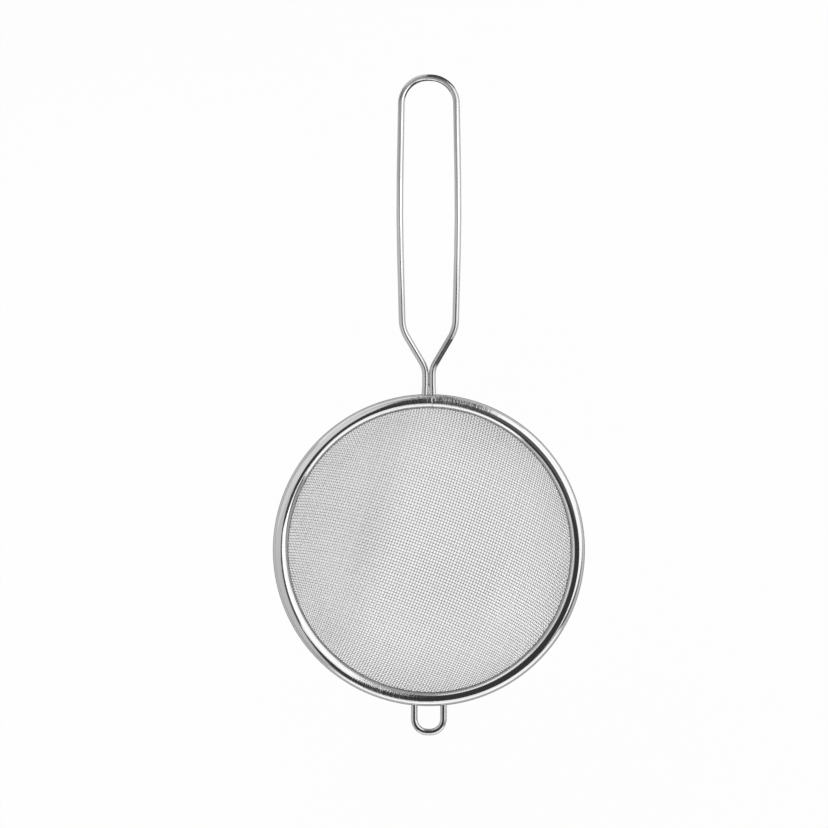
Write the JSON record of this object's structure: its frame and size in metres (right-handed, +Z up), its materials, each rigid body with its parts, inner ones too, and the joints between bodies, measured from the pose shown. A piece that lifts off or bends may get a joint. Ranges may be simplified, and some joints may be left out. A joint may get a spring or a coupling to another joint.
{
  "type": "mesh strainer",
  "caption": "Hand-held kitchen strainer: a round woven-wire bowl in a rolled steel rim, with a long wire loop handle and a small wire rest hook opposite it.",
  "frame": {"origin": "middle of the bowl's flat underside, on the bowl's axis", "axes": "+Z up out of the bowl's mouth along its axis, +Y along the handle away from the bowl, +X to the right when the handle points away"},
  "size_m": [0.14, 0.2963, 0.0428],
  "materials": {
    "rim_steel": "bright polished stainless strip with faint rolling lines",
    "wire_steel": "bright drawn stainless wire",
    "mesh_steel": "fine plain-woven stainless wire cloth",
    "weld_steel": "dull cleaned weld"
  },
  "bodies": {
    "root": {"rim_band": "rim_steel", "rim_core_wire": "wire_steel", "mesh_bowl": "mesh_steel", "handle_wire": "wire_steel", "rest_hook": "wire_steel", "handle_weld": "weld_steel", "hook_weld_left": "weld_steel", "hook_weld_right": "weld_steel"}
  },
  "joints": []
}
